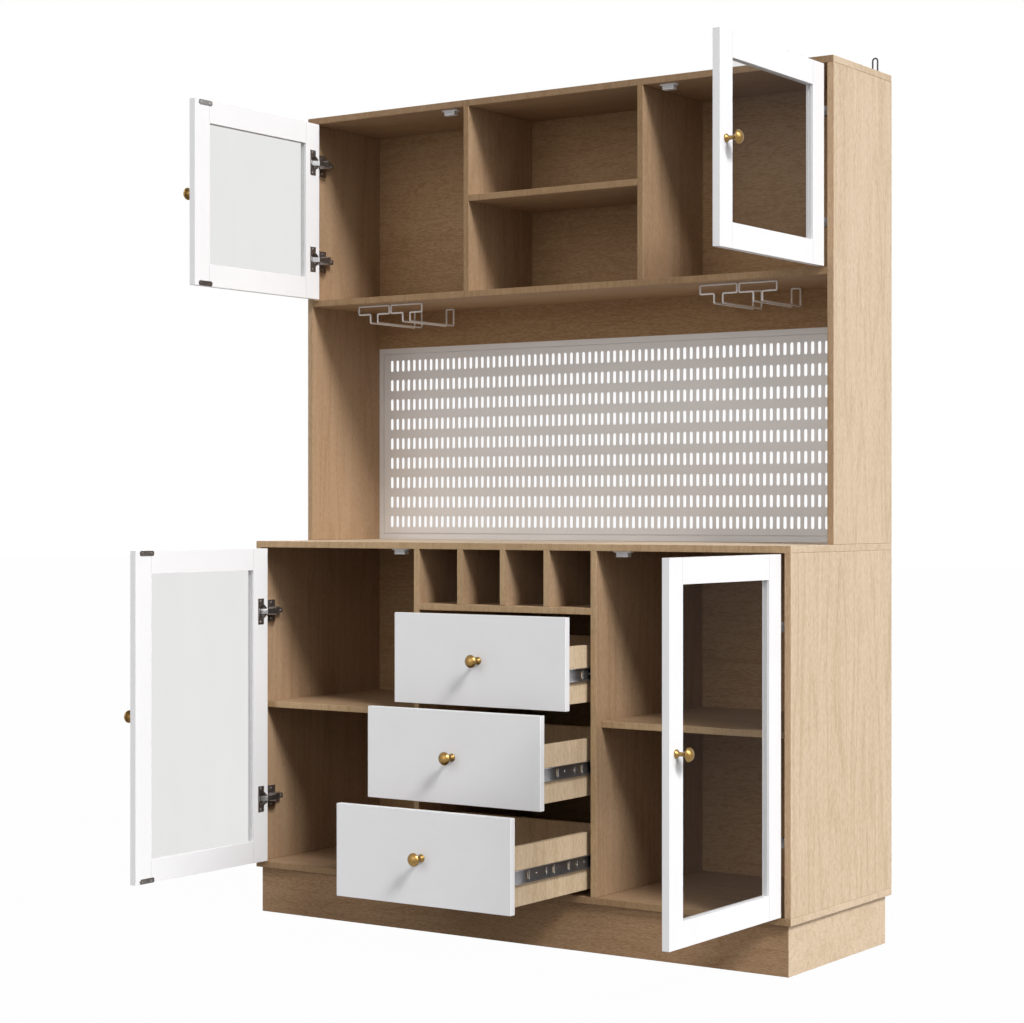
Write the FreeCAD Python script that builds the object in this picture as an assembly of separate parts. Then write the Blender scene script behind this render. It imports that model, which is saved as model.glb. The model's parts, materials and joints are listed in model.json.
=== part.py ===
import FreeCAD, Part
import math
import os

os.makedirs("parts", exist_ok=True)
Vector = FreeCAD.Vector
UP = Vector(0, 0, 1)
BACKWARD = Vector(0, 1, 0)

# A wine cabinet in millimetres: X to the right, Y to the back, Z up, origin on the floor under its middle.
# It is drawn as photographed, with every door swung open and every drawer part way out.

# Carcass boards
width = 1340.0
base_depth = 450.0
hutch_depth = 268.0
total_height = 1799.0
counter_height = 829.0
board = 14.0
plinth_height = 100.0
plinth_inset = 10.0
back_board = 5.0
back_inset = 12.0

# Bays and shelves
centre_bay = 432.0
upper_bay_height = 405.5
cubby_height = 115.5
cubby_pitch = 109.0
cubby_divider_count = 3
base_shelf_rise = 342.5
base_shelf_setback = 20.0
hutch_shelf_rise = 196.5
hutch_back_drop = 83.0

# Slotted metal panel behind the counter
panel_sheet = 1.5
panel_rim_depth = 14.0
slot_width = 8.0
slot_length = 27.0
slot_pitch_across = 16.38
slot_pitch_up = 46.2
slot_margin_side = 34.2
slot_margin_end = 26.0

# Doors
door_gap = 2.2
door_board = 15.0
stile_width = 48.0
rail_width = 48.0
pane_thickness = 4.0
pane_seat = 7.0
pane_end_gap = 1.0
door_open_angle = 90.0

# Concealed hinges
hinge_axis_inward = 3.0
hinge_axis_forward = 3.0
lower_hinge_inset = 140.0
upper_hinge_inset = 90.0
cup_radius = 14.2
cup_depth = 10.3
cup_wall = 1.0
cup_edge_distance = 17.4
cup_bore_clearance = 0.1
cup_flange_length = 57.0
cup_flange_width = 19.0
cup_flange_sheet = 1.2
cup_lip_radius = 15.2
link_clearance = 0.3
link_pin_radius = 3.0
link_pin_offset = 4.5
link_width = 10.5
link_sheet = 2.0
link_rise = 12.0
link_reach = 15.5
link_tail = 35.0
arm_length = 41.0
arm_width = 18.0
arm_tail_width = 11.0
arm_door_clearance = 1.5
arm_tail_height = 15.0
arm_nose_length = 15.0
arm_front_length = 27.0
arm_slot_length = 22.0
arm_slot_floor = 22.0
plate_length = 26.0
plate_height = 48.0
plate_setback = 3.0
plate_sheet = 3.0
plate_ridge = 5.0

# Magnetic catches and their strike plates
strike_length = 44.0
strike_height = 11.0
strike_sheet = 1.0
strike_edge_distance = 12.0
catch_clearance = 0.3
catch_length = 41.0
catch_depth = 15.0
catch_flange = 3.0
catch_body_length = 28.5
catch_body_height = 9.0
catch_divider_distance = 30.0

# Knobs
knob_length = 35.0
knob_base_radius = 8.2
knob_base_height = 3.0
knob_fillet_height = 3.0
knob_neck_radius = 4.0
knob_neck_end = 14.0
knob_head_radius = 13.5
knob_rim_height = 26.0
knob_tip_radius = 3.5
knob_sides = 16
knob_steps = 3

# Drawers, named from the floor up, with how far each one stands open
drawers_open = {"lower_drawer": 283.0, "middle_drawer": 180.0, "upper_drawer": 89.0}
drawer_gap = 2.0
drawer_front_board = 15.0
drawer_box_height = 116.0
drawer_box_lift = 12.0
drawer_box_board = 12.0
drawer_bottom_board = 5.0
drawer_bottom_lift = 10.0

# Drawer slides
slide_length = 400.0
slide_travel = 300.0
slide_gap = 12.0
slide_front_gap = 1.0
slide_sheet = 1.2
slide_rail_height = 35.0
slide_rail_depth = 9.5
slide_runner_height = 26.0
slide_runner_depth = 8.5
cage_clearance = 0.3
cage_web_gap = 0.6
cage_sheet = 0.8
cage_depth = 6.7
cage_end_gap = 2.5
cage_travel_share = 0.5

# Wire glass racks
rack_centres = (-466.0, 431.0)
rack_wire = 4.0
rack_front_setback = 45.0
rack_length = 168.0
rack_loop_width = 86.5
rack_loop_pitch = 92.0
rack_loop_height = 18.5
rack_stem_gap = 20.5
rack_drop = 38.0

# Wall brackets
bracket_side_distance = 37.0
bracket_width = 14.5
bracket_sheet = 2.0
bracket_height = 41.0
bracket_foot = 30.0
bracket_slot_width = 7.7
bracket_slot_start = 10.0

# Levels and planes worked out from the sizes above
half_width = width / 2
inside = half_width - board
front = -base_depth / 2
rear = base_depth / 2
hutch_front = rear - hutch_depth
back_face = rear - back_inset - back_board
divider_near = centre_bay / 2
divider_far = divider_near + board
floor_top = plinth_height + board
counter_under = counter_height - board
top_under = total_height - board
hutch_floor_top = top_under - upper_bay_height
hutch_floor_under = hutch_floor_top - board
cubby_floor_top = counter_under - cubby_height
cubby_floor_under = cubby_floor_top - board
panel_top = hutch_floor_under - hutch_back_drop
link_pin_depth = cup_depth - cup_wall - link_clearance - link_pin_radius
link_stand_off = hinge_axis_inward + hinge_axis_forward + door_board - link_pin_depth + link_rise
link_slot_width = link_width + 2 * link_clearance


def block(x, y, z):
    """A box between pairs of limits."""
    return Part.makeBox(x[1] - x[0], y[1] - y[0], z[1] - z[0], Vector(x[0], y[0], z[0]))


def prism(points, along):
    """A straight solid over a closed outline."""
    outline = Part.makePolygon([*points, points[0]])
    return Part.Face(outline).extrude(along)


def mirrored(solids):
    """The same solids on the other side of the cabinet."""
    return [solid.mirror(Vector(0, 0, 0), Vector(1, 0, 0)) for solid in solids]


def moved(solids, offset):
    return [solid.translated(offset) for solid in solids]


def both_sides(solids):
    return [*solids, *mirrored(solids)]


def save(name, solids):
    shape = solids[0] if len(solids) == 1 else Part.makeCompound(solids)
    shape.exportStep("parts/" + name + ".step")


# Plinth: a low frame of boards with a rail under the middle
def plinth():
    outer = half_width - plinth_inset
    inner = outer - board
    deep = (front + plinth_inset, rear - plinth_inset)
    between = (deep[0] + board, deep[1] - board)
    tall = (0, plinth_height)
    front_board = block((-inner, inner), (deep[0], between[0]), tall)
    rear_board = block((-inner, inner), (between[1], deep[1]), tall)
    rail = block((-board / 2, board / 2), between, tall)
    return [front_board, rear_board, rail, *both_sides([block((inner, outer), deep, tall)])]


# Base: bottom, sides, dividers, counter, back, shelves and bottle cubbies
def base():
    deep = (front, rear)
    lined = (front, back_face)
    tall = (floor_top, counter_under)
    shelf_under = floor_top + base_shelf_rise
    save("base_bottom_panel", [block((-half_width, half_width), deep, (plinth_height, floor_top))])
    save("base_sides", both_sides([block((inside, half_width), deep, tall)]))
    save("base_dividers", both_sides([block((divider_near, divider_far), lined, tall)]))
    save("base_back_panel", [block((-inside, inside), (back_face, back_face + back_board), tall)])
    save("counter_top", [block((-half_width, half_width), deep, (counter_under, counter_height))])
    shelf_deep = (front + base_shelf_setback, back_face)
    shelf = block((divider_far, inside), shelf_deep, (shelf_under, shelf_under + board))
    save("base_shelves", both_sides([shelf]))
    cubby_floor = block((-divider_near, divider_near), lined, (cubby_floor_under, cubby_floor_top))
    cubby = (cubby_floor_top, counter_under)
    first = -cubby_pitch * (cubby_divider_count - 1) / 2
    places = [first + cubby_pitch * i for i in range(cubby_divider_count)]
    cubby_dividers = [block((x - board / 2, x + board / 2), lined, cubby) for x in places]
    save("bottle_cubby_boards", [cubby_floor, *cubby_dividers])


# Hutch: sides, top, floor, dividers, middle shelf and back
def hutch():
    deep = (hutch_front, rear)
    lined = (hutch_front, back_face)
    bay = (hutch_floor_top, top_under)
    shelf_under = hutch_floor_top + hutch_shelf_rise
    save("hutch_sides", both_sides([block((inside, half_width), deep, (counter_height, top_under))]))
    save("hutch_top_panel", [block((-half_width, half_width), deep, (top_under, total_height))])
    save("hutch_floor_panel", [block((-inside, inside), lined, (hutch_floor_under, hutch_floor_top))])
    save("hutch_dividers", both_sides([block((divider_near, divider_far), lined, bay)]))
    middle_shelf = block((-divider_near, divider_near), lined, (shelf_under, shelf_under + board))
    save("hutch_middle_shelf", [middle_shelf])
    back = block((-inside, inside), (back_face, back_face + back_board), (panel_top, top_under))
    save("hutch_back_panel", [back])


# Slotted panel: one punched sheet with its edges folded back
def slotted_panel():
    tall = panel_top - counter_height
    columns = int((2 * inside - 2 * slot_margin_side - slot_width) / slot_pitch_across) + 1
    rows = int((tall - 2 * slot_margin_end - slot_length) / slot_pitch_up) + 1
    first_x = -inside + slot_margin_side + slot_width / 2
    first_z = counter_height + tall / 2 - slot_pitch_up * (rows - 1) / 2

    def rectangle(x, z, wide, high):
        corners = [(-wide, -high), (wide, -high), (wide, high), (-wide, high), (-wide, -high)]
        return Part.makePolygon([Vector(x + dx / 2, back_face, z + dz / 2) for dx, dz in corners])

    outline = rectangle(0, counter_height + tall / 2, 2 * inside, tall)
    slots = [
        rectangle(first_x + slot_pitch_across * i, first_z + slot_pitch_up * k, slot_width, slot_length)
        for i in range(columns)
        for k in range(rows)
    ]
    sheet = Part.Face([outline, *slots]).extrude(BACKWARD * panel_sheet)
    folded = (back_face, back_face + panel_rim_depth)
    rim = block((-inside, inside), folded, (counter_height, panel_top))
    well = block(
        (-inside + panel_sheet, inside - panel_sheet),
        folded,
        (counter_height + panel_sheet, panel_top - panel_sheet),
    )
    return sheet.fuse(rim.cut(well)).removeSplitter()


# Knob: a turned foot, a neck flaring to the rim and a domed face, standing forward from the given point
def knob(x, y, z):
    fillet_end = knob_base_height + knob_fillet_height
    rings = [(knob_base_radius, 0), (knob_base_radius, knob_base_height), (knob_neck_radius, fillet_end)]
    turns = [math.pi / 2 * i / knob_steps for i in range(knob_steps + 1)]
    for turn in turns:
        radius = knob_neck_radius + (knob_head_radius - knob_neck_radius) * (1 - math.cos(turn))
        rings.append((radius, knob_neck_end + (knob_rim_height - knob_neck_end) * math.sin(turn)))
    for turn in turns[1:-1]:
        radius = knob_head_radius * math.cos(turn)
        rings.append((radius, knob_rim_height + (knob_length - knob_rim_height) * math.sin(turn)))
    rings.append((knob_tip_radius, knob_length))

    spin = 2 * math.pi / knob_sides
    loops = []
    for radius, out in rings:
        corners = [(radius * math.cos(spin * i), radius * math.sin(spin * i)) for i in range(knob_sides)]
        loops.append([Vector(x + dx, y - out, z + dz) for dx, dz in corners])
    outlines = [loops[0], loops[-1]]
    for lower, higher in zip(loops, loops[1:]):
        outlines += [[lower[i - 1], lower[i], higher[i], higher[i - 1]] for i in range(knob_sides)]
    faces = [Part.Face(Part.makePolygon([*outline, outline[0]])) for outline in outlines]
    return Part.Solid(Part.Shell(faces))


# Left-hand door, drawn shut in its bay and then swung open about the hinge axis
def left_door(face, bottom, top, hinge_inset):
    x = (-inside + door_gap, -divider_far - door_gap)
    y = (face, face + door_board)
    z = (bottom + door_gap, top - door_gap)
    pane_y = (face + (door_board - pane_thickness) / 2, face + (door_board + pane_thickness) / 2)
    light_x = (x[0] + stile_width, x[1] - stile_width)
    light_z = (z[0] + rail_width, z[1] - rail_width)

    def pane_block(seat):
        return block((light_x[0] - seat, light_x[1] + seat), pane_y, (light_z[0] - seat, light_z[1] + seat))

    groove = pane_block(pane_seat + pane_end_gap)
    cup_x = x[0] + cup_edge_distance
    hinge_levels = (z[0] + hinge_inset, z[1] - hinge_inset)
    bore_radius = cup_radius + cup_bore_clearance
    bore_floors = [Vector(cup_x, y[1] - cup_depth, level) for level in hinge_levels]
    bores = [Part.makeCylinder(bore_radius, cup_depth, floor, BACKWARD) for floor in bore_floors]
    stiles = [block((x[0], light_x[0]), y, z).cut(bores), block((light_x[1], x[1]), y, z)]
    rails = [block(light_x, y, (z[0], light_z[0])), block(light_x, y, (light_z[1], z[1]))]
    strike_x = (x[1] - strike_edge_distance - strike_length, x[1] - strike_edge_distance)
    strike_y = (y[1], y[1] + strike_sheet)
    strike_levels = ((z[0], z[0] + strike_height), (z[1] - strike_height, z[1]))
    pieces = {
        "frame": [piece.cut(groove) for piece in stiles + rails],
        "glass": [pane_block(pane_seat)],
        "knob": [knob(x[1] - stile_width / 2, y[0], (z[0] + z[1]) / 2)],
        "hinge_cups": [hinge_cup(Vector(cup_x, y[1], level)) for level in hinge_levels],
        "strike_plates": [block(strike_x, strike_y, level) for level in strike_levels],
    }
    axis = Vector(-inside + hinge_axis_inward, face - hinge_axis_forward, 0)
    opened = {}
    for name, group in pieces.items():
        opened[name] = [piece.rotated(axis, UP, -door_open_angle) for piece in group]
    pivot = Vector(cup_x + link_pin_offset, y[1] - link_pin_depth, 0)
    pivot = axis + FreeCAD.Rotation(UP, -door_open_angle).multVec(pivot - axis)
    opened["hinge_links"] = [hinge_link(pivot + UP * level) for level in hinge_levels]
    return opened


# Hinge cup: a pressed cup let into the stile, with its lip rounding out of the flange towards the door's edge
def hinge_cup(mouth):
    far = cup_lip_radius
    near = far - cup_flange_width
    half = cup_flange_length / 2
    chord = math.sqrt(cup_lip_radius ** 2 - near ** 2)
    corners = [(near, chord), (near, half), (far, half), (far, -half), (near, -half), (near, -chord)]
    points = [mouth + Vector(dx, 0, dz) for dx, dz in corners]
    lip = Part.Arc(points[-1], mouth - Vector(cup_lip_radius, 0, 0), points[0]).toShape()
    outline = Part.Wire([*[Part.LineSegment(a, b).toShape() for a, b in zip(points, points[1:])], lip])
    flange = Part.Face(outline).extrude(BACKWARD * cup_flange_sheet)
    cup = Part.makeCylinder(cup_radius, cup_depth, mouth, -BACKWARD)
    rim = mouth + BACKWARD * cup_flange_sheet
    hollow_depth = cup_depth - cup_wall + cup_flange_sheet
    hollow = Part.makeCylinder(cup_radius - cup_wall, hollow_depth, rim, -BACKWARD)
    return cup.fuse(flange).cut(hollow).removeSplitter()


# Hinge link: a bent strap from its pin across the cup to its tail in the slot of the arm
def hinge_link(pivot):
    start = pivot - UP * (link_width / 2)
    half = link_sheet / 2
    elbow = start + Vector(link_rise, link_reach, 0)
    tail = elbow + BACKWARD * link_tail
    along = Vector(link_rise, link_reach, 0).normalize()
    across = Vector(-along.y, along.x, 0) * half
    sideways = Vector(-half, 0, 0)
    mitre = (across + sideways) / (1 + across.dot(sideways) / half ** 2)
    points = [start + across, elbow + mitre, tail + sideways, tail - sideways, elbow - mitre, start - across]
    strap = prism(points, UP * link_width)
    pin_reach = link_pin_offset + link_pin_radius
    pin_half = math.sqrt((cup_radius - cup_wall) ** 2 - pin_reach ** 2) - link_clearance
    pin = Part.makeCylinder(link_pin_radius, 2 * pin_half, pivot - UP * pin_half, UP)
    return pin.fuse(strap).removeSplitter()


# Hinge arm on the left side panel at one level: a slotted front for the link and a narrow tail
def hinge_arm(face, level):
    nose = face + door_board + arm_door_clearance
    front_end = nose + arm_front_length
    seat = plate_sheet + plate_ridge
    crest = link_stand_off + link_sheet
    outline = [
        (seat, nose),
        (crest, nose),
        (crest, nose + arm_nose_length),
        (arm_tail_height, front_end),
        (seat, front_end),
    ]
    low = level - arm_width / 2
    body = prism([Vector(-inside + u, v, low) for u, v in outline], UP * arm_width)
    tail = block(
        (-inside + seat, -inside + arm_tail_height),
        (front_end, nose + arm_length),
        (level - arm_tail_width / 2, level + arm_tail_width / 2),
    )
    slot = block(
        (-inside + arm_slot_floor, -inside + crest),
        (nose, nose + arm_slot_length),
        (level - link_slot_width / 2, level + link_slot_width / 2),
    )
    return body.fuse(tail).cut(slot).removeSplitter()


# Mounting plate under the arm: two wings for screws and a ridge that carries the arm
def hinge_plate(face, level):
    nose = face + door_board + arm_door_clearance
    start = nose + plate_setback
    wings = block(
        (-inside, -inside + plate_sheet),
        (start, start + plate_length),
        (level - plate_height / 2, level + plate_height / 2),
    )
    ridge = block(
        (-inside, -inside + plate_sheet + plate_ridge),
        (start, nose + arm_length),
        (level - arm_tail_width / 2, level + arm_tail_width / 2),
    )
    return wings.fuse(ridge).removeSplitter()


# Magnetic catch under a top board, facing the strike plate of the left-hand door
def left_catch(face, under):
    right = -divider_far - catch_divider_distance
    middle = right - catch_length / 2
    nose = face + door_board + strike_sheet + catch_clearance
    deep = (nose, nose + catch_depth)
    flange = block((right - catch_length, right), deep, (under - catch_flange, under))
    body = block(
        (middle - catch_body_length / 2, middle + catch_body_length / 2),
        deep,
        (under - catch_flange - catch_body_height, under - catch_flange),
    )
    return flange.fuse(body).removeSplitter()


# Drawer slides: a channel section between two walls, open to one side
def channel(web_x, lip_x, half_height, web, flange, y):
    """web_x and lip_x are the web's outer face and the flange edges."""
    inward = math.copysign(web, lip_x - web_x)
    section = [
        (web_x, -half_height),
        (lip_x, -half_height),
        (lip_x, flange - half_height),
        (web_x + inward, flange - half_height),
        (web_x + inward, half_height - flange),
        (lip_x, half_height - flange),
        (lip_x, half_height),
        (web_x, half_height),
    ]
    return prism([Vector(x, y[0], z) for x, z in section], BACKWARD * (y[1] - y[0]))


def drawer(name, level, height, opened):
    """One drawer with its front's lower edge at the given level, drawn shut and then pulled out."""
    pull = BACKWARD * -opened
    y_front = (front, front + drawer_front_board)
    y_box = (y_front[1], y_front[1] + slide_length)
    box_z = (level + drawer_box_lift, level + drawer_box_lift + drawer_box_height)
    outer = divider_near - slide_gap
    inner = outer - drawer_box_board
    bottom_z = box_z[0] + drawer_bottom_lift
    y_back = (y_box[1] - drawer_box_board, y_box[1])
    side = block((inner, outer), y_box, box_z)
    back = block((-inner, inner), y_back, box_z)
    bottom = block((-inner, inner), (y_box[0], y_back[0]), (bottom_z, bottom_z + drawer_bottom_board))
    face = block((drawer_gap - divider_near, divider_near - drawer_gap), y_front, (level, level + height))
    slide_z = UP * (box_z[0] + drawer_box_height / 2)
    y_slide = (y_box[0] + slide_front_gap, y_box[0] + slide_front_gap + slide_length)
    rail_x = divider_near - slide_rail_depth
    rail = channel(divider_near, rail_x, slide_rail_height / 2, slide_sheet, slide_sheet, y_slide)
    runner_x = outer + slide_runner_depth
    runner = channel(outer, runner_x, slide_runner_height / 2, slide_sheet, slide_sheet, y_slide)
    cage_x = divider_near - slide_sheet - cage_web_gap
    cage_half = slide_rail_height / 2 - slide_sheet - cage_clearance
    cage_flange = cage_half - slide_runner_height / 2 - cage_clearance
    cage_start = y_slide[0] + slide_travel / 2 + cage_end_gap
    cage_y = (cage_start, cage_start + slide_length - slide_travel - 2 * cage_end_gap)
    cage = channel(cage_x, cage_x - cage_depth, cage_half, cage_sheet, cage_flange, cage_y)
    rail, runner, cage = moved([rail, runner, cage], slide_z)
    save(name + "_front", moved([face], pull))
    save(name + "_box", moved([*both_sides([side]), back, bottom], pull))
    save(name + "_runners", moved(both_sides([runner]), pull))
    save(name + "_ball_cages", moved(both_sides([cage]), pull * cage_travel_share))
    save(name + "_knob", moved([knob(0, front, level + height / 2)], pull))
    return both_sides([rail])


# Glass rack: two bent wires side by side, each hung from the hutch floor round one stem slot
def rack_wire_loop(x):
    top = hutch_floor_under - rack_wire / 2
    shoulder = top - rack_loop_height
    rail = top - rack_drop
    near = hutch_front + rack_front_setback
    far = near + rack_length
    wide = rack_loop_width / 2
    stem = rack_stem_gap / 2
    front_half = [(wide, near, top), (wide, near, shoulder), (stem, near, shoulder), (stem, near, rail)]
    half_path = [*front_half, (stem, far, rail), (stem, far, top)]
    points = [Vector(x + dx, y, z) for dx, y, z in half_path]
    points += [Vector(x - dx, y, z) for dx, y, z in reversed(half_path)]
    bars = [wire_bar(a, b) for a, b in zip(points, points[1:] + points[:1])]
    return bars[0].fuse(bars[1:]).removeSplitter()


def wire_bar(a, b):
    """A square bar between two points of a path along the axes, run on to the outside of both corners."""
    half = rack_wire / 2
    limits = [(min(p, q) - half, max(p, q) + half) for p, q in zip(a, b)]
    return block(*limits)


def glass_rack(x):
    return [rack_wire_loop(x - rack_loop_pitch / 2), rack_wire_loop(x + rack_loop_pitch / 2)]


# Wall bracket: a foot on the top panel and an upright loop with a slot for the wall screw
def wall_bracket():
    x = half_width - bracket_side_distance

    def loop(half, low, crown):
        round_level = crown - half
        points = [(-half, low), (half, low), (half, round_level), (0, crown), (-half, round_level)]
        a, b, c, d, e = [Vector(x + dx, rear - bracket_sheet, total_height + dz) for dx, dz in points]
        straight = [Part.LineSegment(p, q).toShape() for p, q in ((e, a), (a, b), (b, c))]
        return Part.Wire([*straight, Part.Arc(c, d, e).toShape()])

    wall = (bracket_width - bracket_slot_width) / 2
    outline = loop(bracket_width / 2, 0, bracket_height)
    slot = loop(bracket_slot_width / 2, bracket_slot_start, bracket_height - wall)
    upright = Part.Face([outline, slot]).extrude(BACKWARD * bracket_sheet)
    foot = block(
        (x - bracket_width / 2, x + bracket_width / 2),
        (rear - bracket_foot, rear - bracket_sheet),
        (total_height, total_height + bracket_sheet),
    )
    return upright.fuse(foot).removeSplitter()


save("plinth_frame", plinth())
base()
hutch()
save("slotted_panel", [slotted_panel()])

doors = {
    "lower": (front, floor_top, counter_under, lower_hinge_inset),
    "upper": (hutch_front, hutch_floor_top, top_under, upper_hinge_inset),
}
arms = []
plates = []
catches = []
for storey, (face, bottom, top, hinge_inset) in doors.items():
    for name, pieces in left_door(face, bottom, top, hinge_inset).items():
        save(storey + "_left_" + name, pieces)
        save(storey + "_right_" + name, mirrored(pieces))
    for level in (bottom + door_gap + hinge_inset, top - door_gap - hinge_inset):
        arms.append(hinge_arm(face, level))
        plates.append(hinge_plate(face, level))
    catches.append(left_catch(face, top))
save("hinge_arms", both_sides(arms))
save("hinge_plates", both_sides(plates))
save("magnetic_catches", both_sides(catches))

drawer_opening = cubby_floor_under - floor_top
drawer_height = (drawer_opening - drawer_gap * (len(drawers_open) + 1)) / len(drawers_open)
rails = []
for i, (name, opened) in enumerate(drawers_open.items()):
    level = floor_top + drawer_gap + i * (drawer_height + drawer_gap)
    rails += drawer(name, level, drawer_height, opened)
save("slide_rails", rails)

save("glass_racks", [loop for x in rack_centres for loop in glass_rack(x)])
save("wall_brackets", both_sides([wall_bracket()]))
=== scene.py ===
import json
import math

import bmesh
import bpy
from mathutils import Matrix, Vector, geometry

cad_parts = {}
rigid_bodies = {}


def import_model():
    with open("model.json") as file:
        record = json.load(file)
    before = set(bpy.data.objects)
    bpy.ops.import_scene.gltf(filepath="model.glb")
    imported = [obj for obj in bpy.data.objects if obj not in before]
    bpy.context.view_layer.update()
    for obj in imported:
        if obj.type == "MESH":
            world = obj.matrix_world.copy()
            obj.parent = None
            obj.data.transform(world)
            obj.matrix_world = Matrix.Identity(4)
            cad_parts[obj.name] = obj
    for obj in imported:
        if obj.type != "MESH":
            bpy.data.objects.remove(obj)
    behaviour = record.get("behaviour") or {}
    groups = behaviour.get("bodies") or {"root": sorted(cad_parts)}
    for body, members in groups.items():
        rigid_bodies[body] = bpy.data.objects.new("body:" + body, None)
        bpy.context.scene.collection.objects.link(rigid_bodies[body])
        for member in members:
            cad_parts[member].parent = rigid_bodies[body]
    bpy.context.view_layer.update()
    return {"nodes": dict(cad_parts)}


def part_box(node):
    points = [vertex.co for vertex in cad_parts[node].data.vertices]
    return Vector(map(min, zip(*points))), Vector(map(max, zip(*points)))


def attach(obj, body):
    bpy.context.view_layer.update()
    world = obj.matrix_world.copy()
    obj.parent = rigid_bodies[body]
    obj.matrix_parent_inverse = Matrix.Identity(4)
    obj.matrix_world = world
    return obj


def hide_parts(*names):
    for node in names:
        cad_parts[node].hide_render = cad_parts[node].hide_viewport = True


# A wine cabinet: oak-grain boards, white glazed doors and drawers, brass knobs, steel fittings.
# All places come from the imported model, in metres.

for leftover in list(bpy.data.objects):
    bpy.data.objects.remove(leftover)
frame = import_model()
nodes = frame["nodes"]

MM = 0.001
DRAWERS = ("lower_drawer", "middle_drawer", "upper_drawer")
STOREYS = ("lower", "upper")
SIDES = {"left": -1, "right": 1}
DOORS = {storey + "_" + side: sign for storey in STOREYS for side, sign in SIDES.items()}
SMOOTH_ANGLE = math.radians(35)
EDGE_ANGLE = math.radians(40)
EDGE_STEPS = 2
WELD_REACH = 0.005 * MM
MERGE_REACH = 0.002 * MM
CORNERS = ((1, 1), (-1, 1), (-1, -1), (1, -1))
X_AXIS = Vector((1, 0, 0))
Z_AXIS = Vector((0, 0, 1))

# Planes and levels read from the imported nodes
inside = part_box("hutch_floor_panel")[1].x
front_planes = {"lower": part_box("counter_top")[0].y, "upper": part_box("hutch_top_panel")[0].y}

# Fitting sizes, as in the model
door_board = 15 * MM
cup_flange_length = 57 * MM
cup_flange_width = 19 * MM
arm_gap = 1.5 * MM
arm_length = 41 * MM
arm_tail_height = 15 * MM
plate_sheet = 3 * MM
plate_length = 26 * MM
plate_height = 48 * MM
strike_length = 44 * MM
strike_height = 11 * MM

# Oak of the boards, of the backs and of the drawer boxes, from dark to light grain
OAK = ((0.500, 0.370, 0.248), (0.600, 0.465, 0.330), (0.680, 0.545, 0.405))
BACK_OAK = ((0.610, 0.440, 0.290), (0.730, 0.550, 0.378), (0.815, 0.635, 0.460))
PALE_OAK = ((0.500, 0.368, 0.236), (0.595, 0.458, 0.308), (0.675, 0.535, 0.380))

# What the oak is multiplied by: painted shade inside the cabinet, and on the front edges an edging tone
# that has painted shade in it
INNER_SHADE = (0.64, 0.545, 0.46)
PLAIN_TONE = (1.0, 1.0, 1.0)
# Front-edge tones: partly the edge banding's own darker tone, partly painted shade and light, with the
# hutch's and top's edges darker and the base's lighter
EDGING_AND_SHADE = {
    "side": (0.70, 0.61, 0.52),
    "base": (0.76, 0.67, 0.54),
    "hutch": (0.50, 0.41, 0.31),
    "top": (0.47, 0.39, 0.31),
    "plinth": (0.56, 0.445, 0.345),
    "drawer": PLAIN_TONE,
}

# Figures of the grain: the rings' cells per metre along and across it, their number and depth,
# and the depth of the fibres
UPRIGHT_FIGURE = (0.55, 5.5, 14.0, 0.45, 0.72)
LEVEL_FIGURE = (1.0, 6.0, 16.0, 0.40, 0.72)
CROSS_FIGURE = (1.1, 6.5, 20.0, 0.55, 1.25)

# Layers of the grain: cells per metre along and across it, octaves and their roughness, seed shift
FIBRE = ((85, 410, 410), 3.0, 0.65, 0.0)
STREAK = ((2.4, 70, 70), 5.0, 0.72, 3.1)
PLANK = ((0.35, 8, 8), 1.0, 0.4, 7.7)
PORE = ((36, 700, 700), 2.0, 0.5, 5.3)
RING_OCTAVES = (3.0, 0.5, 1.9)

# How far the layers shift the tone, and where rings and pores begin
streak_depth = 0.40
plank_depth = 0.22
pore_depth = -0.06
pore_share = 0.36
ring_edge = 0.2
ring_middle = 0.17

# Where the tones of a palette lie on a scale of 0 to 1
OAK_STOPS = (0.34, 0.50, 0.68)
CLOUD_STOPS = (0.3, 0.7)
METAL_STOPS = (0.35, 0.65)

# Strength and depth of each surface's fine relief
oak_relief = (0.10, 0.3 * MM)
pore_relief = 0.6
paint_relief = (0.05, 0.1 * MM)
metal_relief = (0.05, 0.05 * MM)
coat_relief = (0.08, 0.1 * MM)

# Faces that count as turned to the front and as below the top of a board, and what lies within the sides:
# these bound the painted inner shade
front_limit = -0.7
roof_limit = 0.5
inner_reach = inside + 1 * MM

# Level of sheen, and roughness from and to
oak_sheen = 0.12
oak_rough = (0.46, 0.62)
paint_sheen = 0.25
paint_rough = (0.36, 0.46)
coat_sheen = 0.4
pane_rough = (0.01, 0.04)

# Clouds, pebbles and smears of the other surfaces, in cells per metre along each axis
PAINT_CLOUD = (9, 9, 9)
PAINT_PEBBLE = (700, 700, 700)
PANE_SMEAR = (14, 14, 5)
METAL_PATCH = (60, 60, 60)
COAT_CLOUD = (6, 6, 6)

# Tones of the white paint and of the panes
WHITE_PAINT = ((0.812, 0.808, 0.818), (0.830, 0.826, 0.836))
PANE_TINT = ((0.894, 0.893, 0.890), (0.904, 0.903, 0.900))
pane_index = 1.09


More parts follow.
